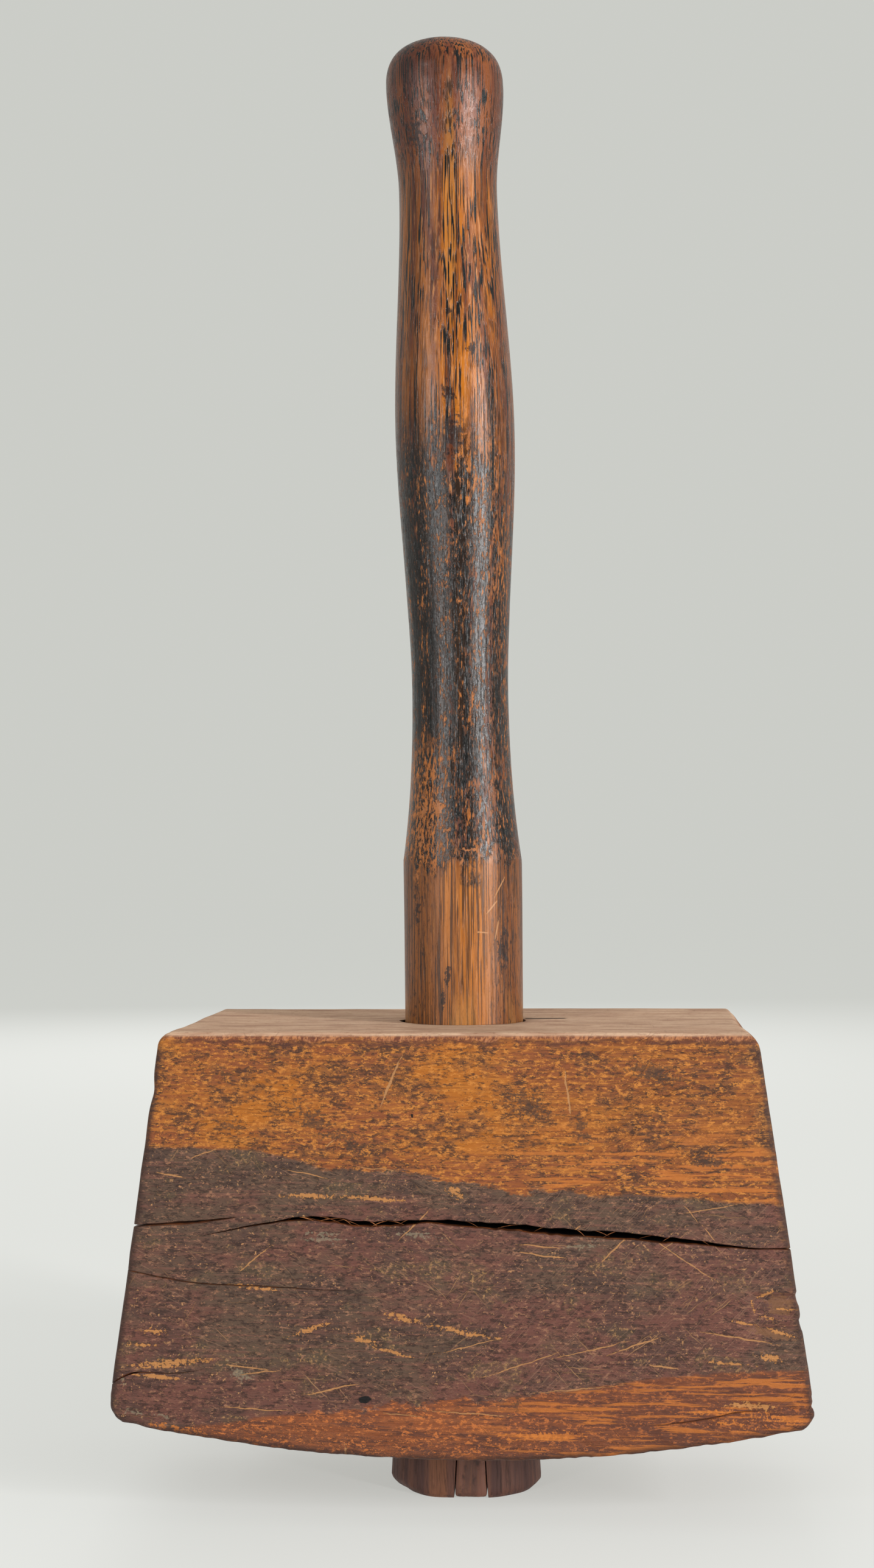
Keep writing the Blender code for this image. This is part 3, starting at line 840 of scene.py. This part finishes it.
    # Grime and scuffs beside the right end of the front cheek
    far_right = paint.sum("MULTIPLY_ADD", z, 0.213, paint.less(x, 0.1052))
    near_edge = paint.product((far_right, -0.009, -0.002), (y, -0.04, -0.042))
    colour = paint.lay(colour, (84, 62, 52), near_edge, (blots, 0.42, 0.52), 0.65)
    colour = paint.lay(colour, (204, 138, 72), near_edge, (scuffs, 0.5, 0.56), 0.8)

    colour, marks = front_marks(paint, colour, loose, speck, grain)

    # Arrises darkened, partly rubbed dirt and partly painted shade where their rounding turns away from the
    # lamps;
    # the bevel along the top of the front cheek, painted lighter as a highlight, and the dark line under it
    rubbed_dirt_and_shade = paint.product((arris, 2.4, 0.6), (blots, 0.3, 0.5))
    colour = paint.lay(colour, (74, 54, 48), rubbed_dirt_and_shade, (z, 0.1235, 0.121), 0.75)
    band = paint.plus(z, paint.swing(blots, 0.006))
    # painted highlight: the bevel's band is made lighter as if it caught the light, over its real chatter
    # marks
    bevel_highlight = paint.product((band, 0.1238, 0.1246), (y, -0.0412, -0.042))
    chatter = paint.noise((0.0007, 0.002, 0.0016), 3, 16, 0.3, rough=0.7)
    bevel_highlight_colour = paint.blend((chatter, 0.42, 0.6), (126, 72, 54), (206, 138, 94))
    colour = paint.mix(paint.product(bevel_highlight, 0.85), colour, bevel_highlight_colour)
    under = paint.product((band, 0.1228, 0.1233), (band, 0.1243, 0.1238), (y, -0.0412, -0.042),
                          (clouds, 0.45, 0.52))
    colour = paint.lay(colour, (94, 58, 50), under, 0.6)
    # The paler top face with its split, partly weathered wood and partly a painted sheen of the pale room it
    # faces at a grazing angle; then the torn wood down in the checks, and painted shade, nearly black, deep
    # in the checks and the eye
    on_top = paint.step(z, TOP_Z - 0.0012, TOP_Z - 0.0003)
    # painted sheen: the top face is made paler for the reflection it would show at a grazing angle
    top_weathering_and_sheen = paint.coats(
        paint.blend((grain, 0.4, 0.6), (212, 168, 138), (236, 198, 166)),
        ((178, 134, 108), (flame, 0.5, 0.62), 0.6),
        ((150, 104, 80), (flecks, 0.56, 0.62), 0.5))
    split = paint.product((x, 0.0165, 0.0172), (x, 0.029, 0.0275), (y, 0.0036, 0.0042), (y, 0.0074, 0.0066))
    top_weathering_and_sheen = paint.lay(top_weathering_and_sheen, (60, 40, 32), split, 0.9)
    colour = paint.mix(on_top, colour, top_weathering_and_sheen)
    torn_wood = paint.blend((fine, 0.45, 0.6), (74, 44, 32), (176, 102, 58))
    colour = paint.mix((deep, 0.02, 0.4), colour, torn_wood)
    # painted shade: nearly black where the wood lies deep in a check, and all through the eye
    colour = paint.lay(colour, (28, 20, 17), (deep, 0.3, 0.9))

    rough = paint.plus(paint.product(flecks, 0.5), paint.product(fine, 0.3), paint.product(grain, 0.35))
    height = paint.less(rough, paint.product(paint.most((cuts, marks)), 0.25))
    roughness = paint.plus((flecks, 0.4, 0.65, 0.46, 0.62), paint.product(on_top, 0.3))
    return paint.finish(colour, roughness, height, 0.0006, 0.22)


# Marks on the front cheek: x, z and the other end's x, z and the width, in millimetres. The first two
# bruises are small and nearly black.
LIGHT_SCRATCHES = (
    (-13, 122.5, -20.6, 105, 0.8), (27.6, 118, 29.3, 103.6, 0.7), (83, 112, 78.5, 108.5, 0.6),
    (-79, 90.3, -69, 88.6, 0.6), (-70, 93.6, -60, 96.8, 0.5), (-46, 91.4, -31, 88.4, 0.5),
    (-28, 92, -14, 90.8, 0.45), (56, 80, 74, 83.4, 0.45), (57, 83, 62, 77.5, 0.4),
    (-58, 63.5, -47, 72.5, 0.55), (35, 66.8, 45.5, 76.5, 0.6), (28, 74, 32, 77.8, 0.5),
    (14, 72.5, 28, 71.4, 0.5), (14, 70.6, 30, 68.8, 0.6), (48, 75, 68, 62, 0.4),
    (-64, 30.6, -40, 29.6, 0.5), (-42, 33.5, -22, 37.3, 0.6), (-63, 41.6, -46, 39.6, 0.6),
    (-57, 38.6, -44, 40.2, 0.5), (-22, 29.6, -6, 28.5, 0.4), (-10, 30.4, 16, 29.0, 0.5),
    (16, 50, -8, 44, 0.45), (4, 38, 30, 46.5, 0.5), (36, 44, 54, 50.5, 0.55),
    (22, 43, 46, 49, 0.5), (60, 51, 83, 47.4, 0.6), (-16, 72, -6, 82, 0.5),
    (14, 34.5, 46, 37.6, 0.4), (62, 78, 66, 72.8, 0.4), (-34, 96.5, -31, 99, 0.4),
    (-29.2, 22.3, -28.2, 13.6, 0.9), (46, 42.6, 57, 41.4, 0.6))
TAN_SCUFFS = (
    (-46.6, 84.6, -30, 84.2, 1.9), (-31, 84.3, -13, 83.2, 1.5), (-3.4, 86.4, 2.9, 84, 3.0),
    (-19, 54.6, -9, 52.4, 2.4), (-11, 52.4, 14, 48, 1.7), (-28, 49.4, -20, 46.2, 2.6),
    (-22, 46.2, -11, 43.6, 1.2), (-60, 61.6, -44, 60.4, 1.5), (-84, 50, -73, 49.2, 2.0),
    (-86, 46.4, -76, 45.6, 1.6), (-86, 40.4, -62, 42.6, 2.2), (80.5, 61.6, 74.6, 58.6, 0.9),
    (74.4, 58.8, 75.4, 55, 0.9), (75.4, 55, 82, 53.8, 1.3), (78, 57, 87, 56.4, 0.8),
    (68, 54, 76, 52.6, 0.9), (76, 52.4, 88.4, 48.8, 1.1),
    (76, 45.6, 82, 43.6, 2.6), (62, 43.4, 76, 42.2, 1.2),
    (-44, 48, -32, 52.6, 1.4), (66, 33.0, 82, 31.6, 2.6), (-84.5, 38.6, -70, 37.6, 1.2))
TORN_FIBRES = ((58, 30.4, 74, 31.6, 2.6), (70, 31, 87, 28.4, 3.4), (60, 28, 80, 27.2, 3),
               (-80, 26, -60, 22.6, 3), (10, 24, 34, 25, 3))
TORN_FLAPS = ((76, 57, 87, 57.6, 9), (72, 52, 88, 48.9, 4))
DARK_BRUISES = (
    (-26, 32.8, -21.6, 32.8, 2.4), (-11.9, 104.8, -11.1, 104.8, 1.5), (-44, 109, -30, 98, 8),
    (10, 112, 26, 104, 9), (42, 118, 60, 113, 7), (80, 119, 78, 110, 5), (-62, 118, -58, 113, 4),
    (-64, 104, -54, 101, 4), (56, 96, 70, 92, 5), (34, 95, 30, 108, 4), (14, 30, 16, 36, 3),
    (-34, 102, -22, 94, 6), (74, 42.5, 86, 43.5, 2.5))
PALE_DUST = (
    (-88, 37.6, -85, 36.2, 2.4), (-88, 30, -80, 28.6, 2.6), (-80, 28.6, -72, 27.4, 1.6),
    (-60, 41.5, -52, 37.4, 6), (-42, 74, -26, 73.5, 4), (-20, 75, -2, 74.6, 3.2), (22, 72, 40, 72.4, 3))


def front_marks(paint, colour, loose, speck, grain):
    """Lay the front cheek's own bruises, torn wood, scuffs, dust and scratches over the colour. Returns
    the colour and how deep the scuffs and scratches are."""
    ragged = paint.less(paint.plus(paint.product(speck, 1.0), paint.product(grain, 0.6)), 0.8)

    def marks(strokes, bite, low, high):
        """The strokes' mask, its edges broken up by noise as far as bite."""
        mask = paint.most(paint.stroke(*stroke, CHEEK_MM, loose) for stroke in strokes)
        return paint.product((paint.plus(mask, paint.product(ragged, bite)), low, high), (mask, 0.0, 0.02))

    colour = paint.lay(colour, (84, 64, 54), marks(DARK_BRUISES[2:], 4.5, 0.4, 0.8), 0.72)
    colour = paint.lay(colour, (34, 24, 24), marks(DARK_BRUISES[:2], 0.5, 0.15, 0.4))
    colour = paint.lay(colour, (220, 132, 62), marks(TORN_FIBRES, 6, 0.5, 0.9), 0.9)
    colour = paint.lay(colour, (136, 96, 68), marks(TORN_FLAPS, 1.6, 0.35, 0.5), 0.75)
    scuffed = marks(TAN_SCUFFS, 4.0, 0.3, 0.5)
    colour = paint.lay(colour, (208, 144, 86), scuffed, 0.9)
    colour = paint.lay(colour, (158, 148, 124), marks(PALE_DUST, 4.5, 0.62, 0.9), 0.5)
    scratched = marks(LIGHT_SCRATCHES, 1.2, 0.12, 0.4)
    colour = paint.lay(colour, (202, 146, 96), scratched, 0.85)
    return colour, paint.most([scratched, scuffed])


# Marks on the handle's front: x, z, half width and half height, in millimetres
CHIPS = ((-6.5, 184.5, 3.2, 2.6), (-10.5, 183, 1.6, 4), (-4.2, 179, 2.0, 1.2), (-8.4, 179.6, 1.2, 1.8),
         (2.0, 173.2, 2.6, 0.7), (-8.5, 194, 2.0, 2.2), (-10.8, 171, 1.0, 1.4), (-12.6, 166, 1.6, 2),
         (-11, 176, 1.1, 3.4), (0.4, 169.6, 0.7, 1.6), (-13.4, 195.5, 0.8, 2.4))
BRUISES = ((3.6, 310.6, 2.3, 1.9), (-3.6, 139, 1.2, 4.6), (-5.0, 133, 1.0, 4), (-2.4, 321.2, 1.2, 1.0),
           (-2.6, 298, 2.6, 5), (11.5, 146, 3.0, 9), (-11.6, 372, 3.6, 8), (9.5, 367, 3.2, 4),
           (-1.2, 286, 4, 9), (-12.2, 157, 1.6, 12), (9.4, 289, 1.5, 5))
SCRATCHES = ((8.5, 159, 12.5, 167, 0.6), (6.0, 154.6, 10.4, 160, 0.6), (3.2, 151, 8.4, 150.6, 0.7),
             (9, 148, 10.6, 156, 0.5))


def handle_wood():
    """Open-grained brown wood with dark pores, blackened and polished where the hand held it, and painted
    shade down its left and right sides.
    """
    paint = Paint("worn handle timber")
    x, y, z = paint.sides
    pores = paint.noise((0.00044, 0.00044, 0.018), 1, 2, rough=0.5)
    pores_two = paint.noise((0.0006, 0.0006, 0.036), 1, 3, rough=0.5)
    fibre = paint.noise((0.0006, 0.0006, 0.010), 4, 4, rough=0.7)
    bands = paint.noise((0.0032, 0.0032, 0.11), 3, 5, rough=0.6)
    clouds = paint.noise((0.011, 0.011, 0.036), 4, 6, rough=0.6)
    dirt = paint.noise((0.006, 0.006, 0.013), 6, 7, rough=0.72)
    flecks = paint.noise((0.0007, 0.0007, 0.0026), 5, 8, rough=0.8)
    speck = paint.noise((0.0013, 0.0013, 0.0018), 4, 9, rough=0.7)

    # The wood, its knob, the fresher shank, and painted shade down the left and right sides
    colour = paint.coats(
        paint.blend((bands, 0.36, 0.6), (104, 54, 26), (202, 118, 34)),
        ((124, 70, 50), (clouds, 0.48, 0.62), 0.6),
        ((214, 140, 80), (fibre, 0.5, 0.68)))
    knob = paint.step(z, 0.352, 0.372)
    rosy = paint.blend((clouds, 0.42, 0.6), (132, 74, 52), (92, 52, 44))
    colour = paint.mix(paint.product(knob, 0.7), colour, rosy)
    honey = paint.stamp((-0.002, -SHANK_RADIUS, 0.352), (0.0024, 0.02, 0.05))
    colour = paint.lay(colour, (186, 122, 58), (honey, 0.1, 0.6), 0.6)
    shank = paint.step(z, 0.176, 0.164)
    colour = paint.lay(colour, (200, 124, 56), shank, 0.5)
    # painted shade: the turned handle's left and right sides made darker, as they turn from the light
    left = paint.step(x, -0.002, -0.014)
    colour = paint.lay(colour, (64, 32, 16), left, 0.5)
    right = paint.step(x, 0.004, 0.013)
    colour = paint.lay(colour, (88, 44, 18), right, 0.55)

    # Dark pores, and the shank's pale foot and pitted sides
    lines = paint.most(((pores, 0.54, 0.62), (pores_two, 0.58, 0.63)))
    lines = paint.product(lines, (paint.noise((0.004, 0.004, 0.05), 2, 10), 0.36, 0.5, 0.55, 1.0))
    colour = paint.lay(colour, (30, 20, 17), lines, (shank, 0, 1, 1.0, 0.72))

    foot = paint.product((z, 0.138, 0.128), (clouds, 0.4, 0.6))
    colour = paint.lay(colour, (206, 146, 84), foot, 0.45)
    sides = paint.step(paint.most((left, right)), 0, 1, 0.25, 1.0)
    pits = paint.product((flecks, 0.54, 0.6), shank, sides)
    colour = paint.lay(colour, (40, 28, 26), pits, 0.8)
    # The black patina, worn through in flecks
    ragged_z = paint.sum("MULTIPLY_ADD", dirt, 0.05, paint.plus(z, -0.025))
    zone = paint.product((ragged_z, 0.166, 0.173), (z, 0.306, 0.276))
    grime = paint.plus(paint.sum("MULTIPLY_ADD", bands, 0.9, paint.plus(dirt, -0.2)),
                       paint.sum("MULTIPLY_ADD", x, -9.0, 0.12), (z, 0.215, 0.195, 0.0, -0.07),
                       paint.product((x, -0.003, -0.008), (z, 0.205, 0.19), -0.1),
                       (z, 0.3, 0.23, -0.16, 0.07), paint.product((flecks, 0.35, 0.65), -0.34))
    black = paint.product(zone, (grime, 0.53, 0.62))
    colour = paint.lay(colour, (24, 22, 23), black, 0.96)
    fire = paint.product(zone, (flecks, 0.56, 0.61), (bands, 0.42, 0.56), 0.92)
    low_left = paint.product((x, -0.003, -0.008), (z, 0.208, 0.195))
    fire = paint.most((fire, paint.product(zone, low_left, (flecks, 0.49, 0.55), 0.9)))
    colour = paint.lay(colour, (214, 128, 58), fire)

    def marks(places, bite, low, high):
        """Mask of egg-shaped marks on the front of the handle, broken up by noise."""
        mask = paint.most(paint.stamp((across * MM, -SHANK_RADIUS, up * MM), (wide * MM, 0.012, tall * MM))
                          for across, up, wide, tall in places)
        return paint.product((paint.plus(mask, paint.swing(speck, bite)), low, high), (mask, 0, 0.05))

    colour = paint.lay(colour, (40, 32, 32), marks(BRUISES, 3.0, 0.3, 0.6), 0.85)
    chips = marks(CHIPS, 5.0, 0.45, 0.6)
    colour = paint.lay(colour, (192, 122, 72), chips, 0.92)
    cut_lines = paint.most(paint.stroke(*line, -14, paint.place) for line in SCRATCHES)
    cut_lines = paint.step(paint.plus(cut_lines, paint.swing(speck, 1.5)), 0.25, 0.5)
    colour = paint.lay(colour, (208, 150, 98), cut_lines, 0.8)

    # The stub below the crown
    stub = paint.step(z, 0.024, 0.02)
    stub_colour = paint.blend((bands, 0.4, 0.6), (96, 66, 60), (122, 82, 68))
    tan_strip = paint.product((x, -0.0098, -0.0088), (x, -0.004, -0.005))
    stub_colour = paint.lay(stub_colour, (150, 98, 70), tan_strip, 0.8)
    stub_colour = paint.lay(stub_colour, (60, 44, 40), (fibre, 0.5, 0.66), 0.6)
    colour = paint.mix(stub, colour, stub_colour)

    glints = paint.noise((0.0011, 0.0011, 0.0042), 3, 12, rough=0.7)
    sunk = paint.less(paint.product(fibre, 0.5), paint.product(lines, 0.5), paint.product(chips, 0.5))
    height = paint.plus(sunk, paint.product(flecks, 0.5), paint.product(glints, (black, 0, 1, 0.2, 0.6)))
    roughness = paint.plus((fibre, 0.4, 0.7, 0.2, 0.32),
                           paint.product(zone, (flecks, 0.47, 0.55, -0.12, 0.22)),
                           paint.product(stub, 0.25), paint.product(shank, 0.14),
                           paint.product(knob, (speck, 0.42, 0.56), 0.16), paint.product(chips, 0.25))
    return paint.finish(colour, roughness, height, 0.00012, 0.32)


def wedge_wood():
    """The wedge's darker wood, with its grain along the handle."""
    paint = Paint("wedge timber")
    fibre = paint.noise((0.0006, 0.0006, 0.008), 4, 20, rough=0.7)
    bands = paint.noise((0.002, 0.002, 0.03), 3, 21)
    dirt = paint.noise((0.003, 0.003, 0.004), 4, 22)
    colour = paint.coats(
        paint.blend((bands, 0.4, 0.6), (136, 90, 74), (110, 74, 62)),
        ((138, 92, 66), (fibre, 0.5, 0.66), 0.7),
        ((58, 44, 42), (dirt, 0.55, 0.68), 0.7))
    return paint.finish(colour, paint.step(dirt, 0.4, 0.6, 0.5, 0.65), fibre, 0.0002, 0.4)


def splinter_wood():
    """Fresh pale wood of the torn slivers."""
    paint = Paint("torn splinters")
    grit = paint.noise((0.0012, 0.0005, 0.0005), 3, 1)
    shade = paint.blend((grit, 0.4, 0.6), (196, 128, 80), (140, 84, 52))
    return paint.finish(shade, paint.step(grit, 0, 1, 0.6, 0.7), grit, 0.0001, 0.25)


# ---------------------------------------------------------------- studio

BACKDROP = (0.60, 0.61, 0.575)
FLOOR_SHARE = 0.3        # how much of the floor's brightness the lamps make; the rest is its own glow
FLOOR_REACH = 9.0
LAMP_AIM_Z = 0.2         # the height that every lamp faces
LENS, SENSOR_WIDTH = 44.72, 36.0        # millimetres
CAMERA_PLACE = (0.0261, -0.5438, 0.1691)
CAMERA_TURN = (92.38, 0.27, 3.52)        # degrees about X, Y and Z


def floor():
    """A wide pale floor at the stub's end. It glows faintly, so that far off it meets the surroundings
    without a line."""
    mesh = bpy.data.meshes.new("floor")
    corners = ((-1, -1), (1, -1), (1, 1), (-1, 1))
    mesh.from_pydata([(x * FLOOR_REACH, y * FLOOR_REACH, 0) for x, y in corners], [], [(0, 1, 2, 3)])
    material = bpy.data.materials.new("pale floor")
    material.use_nodes = True
    shader = material.node_tree.nodes["Principled BSDF"]
    shader.inputs["Base Color"].default_value = (FLOOR_SHARE, FLOOR_SHARE, FLOOR_SHARE, 1)
    shader.inputs["Roughness"].default_value = 0.7
    shader.inputs["Specular IOR Level"].default_value = 0.0
    shader.inputs["Emission Color"].default_value = (*(part * (1 - FLOOR_SHARE) for part in BACKDROP), 1)
    shader.inputs["Emission Strength"].default_value = 1.0
    mesh.materials.append(material)
    thing = bpy.data.objects.new("floor", mesh)
    bpy.context.scene.collection.objects.link(thing)


def softbox(name, azimuth, height, distance, size, power, glossy=True):
    """A soft rectangular lamp that faces the handle. Azimuth is from the front, towards +X, in degrees.
    The size is in metres and the power in watts."""
    lamp = bpy.data.lights.new(name, "AREA")
    lamp.shape = "RECTANGLE"
    lamp.size, lamp.size_y = size
    lamp.energy = power
    thing = bpy.data.objects.new(name, lamp)
    around = math.radians(azimuth)
    thing.location = (math.sin(around) * distance, -math.cos(around) * distance, height)
    drop = math.atan2(height - LAMP_AIM_Z, distance)
    thing.rotation_euler = (math.pi / 2 - drop, 0, around)
    thing.visible_camera = False
    thing.visible_glossy = glossy
    bpy.context.scene.collection.objects.link(thing)


def studio():
    """Soft light from both sides, a pale room and the camera."""
    floor()
    softbox("right_softbox", 54, 0.42, 1.2, (0.11, 0.62), 19)
    softbox("left_softbox", -39, 0.45, 1.2, (0.15, 0.62), 7.5)
    softbox("back_fill", 190, 0.9, 1.4, (0.9, 0.9), 9, glossy=False)
    world = bpy.data.worlds.new("pale_room")
    world.use_nodes = True
    world.node_tree.nodes["Background"].inputs["Color"].default_value = (*BACKDROP, 1)
    bpy.context.scene.world = world
    bpy.context.scene.view_settings.view_transform = "Standard"
    lens = bpy.data.cameras.new("camera")
    lens.lens, lens.sensor_width = LENS, SENSOR_WIDTH
    lens.clip_start, lens.clip_end = 0.01, 50
    camera = bpy.data.objects.new("camera", lens)
    camera.location = CAMERA_PLACE
    camera.rotation_euler = [math.radians(part) for part in CAMERA_TURN]
    bpy.context.scene.collection.objects.link(camera)
    bpy.context.scene.camera = camera


studio()
piece("mallet_head", head_mesh(), head_wood(), "head_timber", "head")
piece("head_splinters", splinter_mesh(), splinter_wood(), "head_timber")
piece("mallet_handle", cut(handle_mesh(), saw_slot()), handle_wood(), "handle_timber", "handle")
piece("tenon_wedge", wedge_mesh(), wedge_wood(), "wedge_timber", "wedge")
